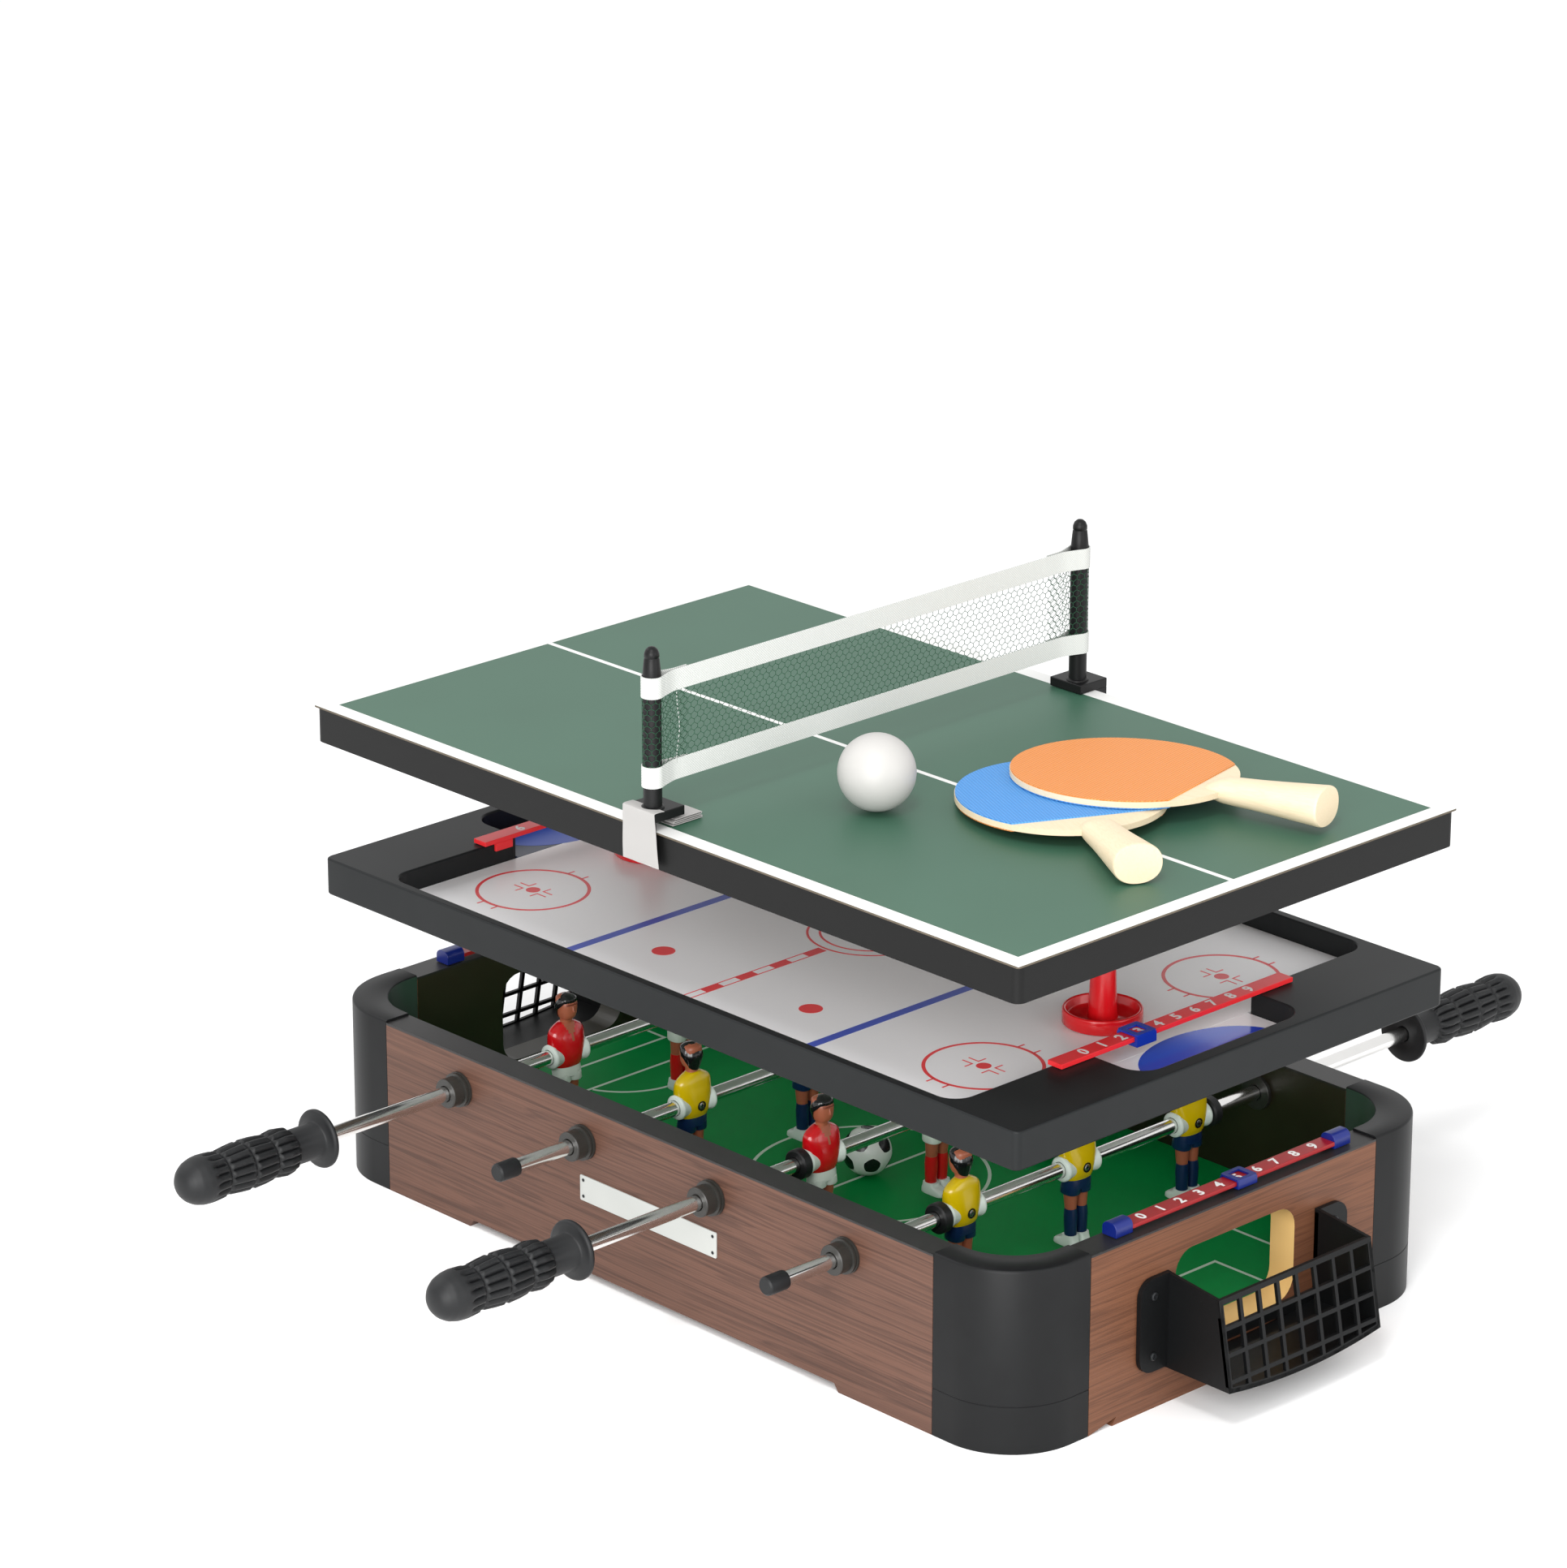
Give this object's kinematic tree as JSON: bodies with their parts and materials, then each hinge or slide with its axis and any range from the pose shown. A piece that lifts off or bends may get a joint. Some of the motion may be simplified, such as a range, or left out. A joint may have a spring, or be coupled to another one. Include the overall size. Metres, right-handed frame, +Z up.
{
  "type": "multi game table",
  "caption": "Small multi game table: football base with sliding rods, hockey tray with pushers and tennis top with net and bats, shown lifted one above the other.",
  "frame": {"origin": "on the floor, under the middle of the football base", "axes": "+X along the table towards the right goal, +Z up, -Y is the front long side"},
  "size_m": [0.6128, 0.696, 0.3561],
  "materials": {
    "walnut": "satin laminate",
    "casing_plastic": "satin",
    "pitch_green": "satin print",
    "black_plastic": "satin",
    "rod_chrome": "polished",
    "black_rubber": "matte moulded",
    "player_red": "gloss",
    "player_yellow": "gloss",
    "football_white": "satin",
    "counter_red": "satin",
    "slider_blue": "satin",
    "tray_grey": "satin",
    "rink_white": "satin print",
    "pusher_red": "gloss",
    "tennis_green": "painted satin",
    "skirt_black": "painted satin",
    "net_white": "woven",
    "ball_white": "matte",
    "bat_wood": "bare beech"
  },
  "bodies": {
    "base": {"front_wall": "walnut", "back_wall_with_bushes": "walnut", "left_end_wall": "walnut", "right_end_wall": "walnut", "corner_casing_back_right": "casing_plastic", "corner_casing_back_left": "casing_plastic", "corner_casing_front_right": "casing_plastic", "corner_casing_front_left": "casing_plastic", "pitch_board": "pitch_green", "left_goal_basket": "black_plastic", "right_goal_basket": "black_plastic", "front_bush_1": "black_plastic", "front_bush_2": "black_plastic", "front_bush_3": "black_plastic", "front_bush_4": "black_plastic", "left_goal_counter": "counter_red", "right_goal_counter": "counter_red"},
    "rod_1_travel": {"bumper_1": "black_rubber"},
    "rod_1_spin": {"rod_1": "rod_chrome", "handle_1": "black_rubber", "red_player_1_1": "player_red", "red_player_1_2": "player_red", "red_player_1_3": "player_red"},
    "rod_2_travel": {"bumper_2": "black_rubber"},
    "rod_2_spin": {"rod_2": "rod_chrome", "handle_2": "black_rubber", "yellow_player_2_1": "player_yellow", "yellow_player_2_2": "player_yellow", "yellow_player_2_3": "player_yellow"},
    "rod_3_travel": {"bumper_3": "black_rubber"},
    "rod_3_spin": {"rod_3": "rod_chrome", "handle_3": "black_rubber", "red_player_3_1": "player_red", "red_player_3_2": "player_red", "red_player_3_3": "player_red"},
    "rod_4_travel": {"bumper_4": "black_rubber"},
    "rod_4_spin": {"rod_4": "rod_chrome", "handle_4": "black_rubber", "yellow_player_4_1": "player_yellow", "yellow_player_4_2": "player_yellow", "yellow_player_4_3": "player_yellow"},
    "loose_football": {"football": "football_white"},
    "left_counter": {"left_counter_slider": "slider_blue"},
    "right_counter": {"right_counter_slider": "slider_blue"},
    "hockey_tray": {"hockey_tray_frame": "tray_grey", "rink_panel": "rink_white", "left_rink_counter": "counter_red", "right_rink_counter": "counter_red"},
    "left_rink_count": {"left_rink_slider": "slider_blue"},
    "right_rink_count": {"right_rink_slider": "slider_blue"},
    "left_push": {"left_pusher": "pusher_red"},
    "right_push": {"right_pusher": "pusher_red"},
    "tennis_top": {"tennis_board": "tennis_green", "tennis_skirt": "skirt_black", "front_net_post": "black_plastic", "back_net_post": "black_plastic", "net": "net_white"},
    "loose_tennis_ball": {"tennis_ball": "ball_white"},
    "bat_below": {"lower_bat": "bat_wood"},
    "bat_above": {"upper_bat": "bat_wood"}
  },
  "joints": [
    {"name": "rod_1_slide", "type": "slide", "parent": "base", "child": "rod_1_travel", "axis": [0, 1, 0], "range_m": [-0.035, 0.037]},
    {"name": "rod_1_turn", "type": "hinge", "parent": "rod_1_travel", "child": "rod_1_spin", "pos_m": [-0.14565, 0, 0.077], "axis": [0, 1, 0], "continuous": true},
    {"name": "rod_2_slide", "type": "slide", "parent": "base", "child": "rod_2_travel", "axis": [0, 1, 0], "range_m": [-0.037, 0.035]},
    {"name": "rod_2_turn", "type": "hinge", "parent": "rod_2_travel", "child": "rod_2_spin", "pos_m": [-0.04855, 0, 0.077], "axis": [0, 1, 0], "continuous": true},
    {"name": "rod_3_slide", "type": "slide", "parent": "base", "child": "rod_3_travel", "axis": [0, 1, 0], "range_m": [-0.037, 0.035]},
    {"name": "rod_3_turn", "type": "hinge", "parent": "rod_3_travel", "child": "rod_3_spin", "pos_m": [0.04855, 0, 0.077], "axis": [0, 1, 0], "continuous": true},
    {"name": "rod_4_slide", "type": "slide", "parent": "base", "child": "rod_4_travel", "axis": [0, 1, 0], "range_m": [-0.041, 0.031]},
    {"name": "rod_4_turn", "type": "hinge", "parent": "rod_4_travel", "child": "rod_4_spin", "pos_m": [0.14565, 0, 0.077], "axis": [0, 1, 0], "continuous": true},
    {"name": "football_roll", "type": "slide", "parent": "base", "child": "loose_football", "axis": [0, 1, 0], "range_m": [-0.1, 0.1]},
    {"name": "left_counter_slide", "type": "slide", "parent": "base", "child": "left_counter", "axis": [0, 1, 0], "range_m": [-0.0735, 0.0585]},
    {"name": "right_counter_slide", "type": "slide", "parent": "base", "child": "right_counter", "axis": [0, 1, 0], "range_m": [-0.0735, 0.0585]},
    {"name": "tray_lift", "type": "slide", "parent": "base", "child": "hockey_tray", "axis": [0, 0, 1], "range_m": [-0.036, 0.06]},
    {"name": "left_rink_counter_slide", "type": "slide", "parent": "hockey_tray", "child": "left_rink_count", "axis": [0, 1, 0], "range_m": [-0.0757, 0.0243]},
    {"name": "right_rink_counter_slide", "type": "slide", "parent": "hockey_tray", "child": "right_rink_count", "axis": [0, 1, 0], "range_m": [-0.0243, 0.0757]},
    {"name": "left_pusher_slide", "type": "slide", "parent": "hockey_tray", "child": "left_push", "axis": [1, 0, 0], "range_m": [-0.016, 0.14]},
    {"name": "right_pusher_slide", "type": "slide", "parent": "hockey_tray", "child": "right_push", "axis": [1, 0, 0], "range_m": [-0.14, 0.016]},
    {"name": "tennis_top_lift", "type": "slide", "parent": "hockey_tray", "child": "tennis_top", "axis": [0, 0, 1], "range_m": [-0.059, 0.06]},
    {"name": "tennis_ball_roll", "type": "slide", "parent": "tennis_top", "child": "loose_tennis_ball", "axis": [-0.2, 0.9798, 0], "range_m": [-0.08, 0.19]},
    {"name": "lower_bat_lift", "type": "slide", "parent": "tennis_top", "child": "bat_below", "axis": [0, 0, 1], "range_m": [0, 0.06]},
    {"name": "upper_bat_lift", "type": "slide", "parent": "bat_below", "child": "bat_above", "axis": [0, 0, 1], "range_m": [0, 0.06]}
  ]
}
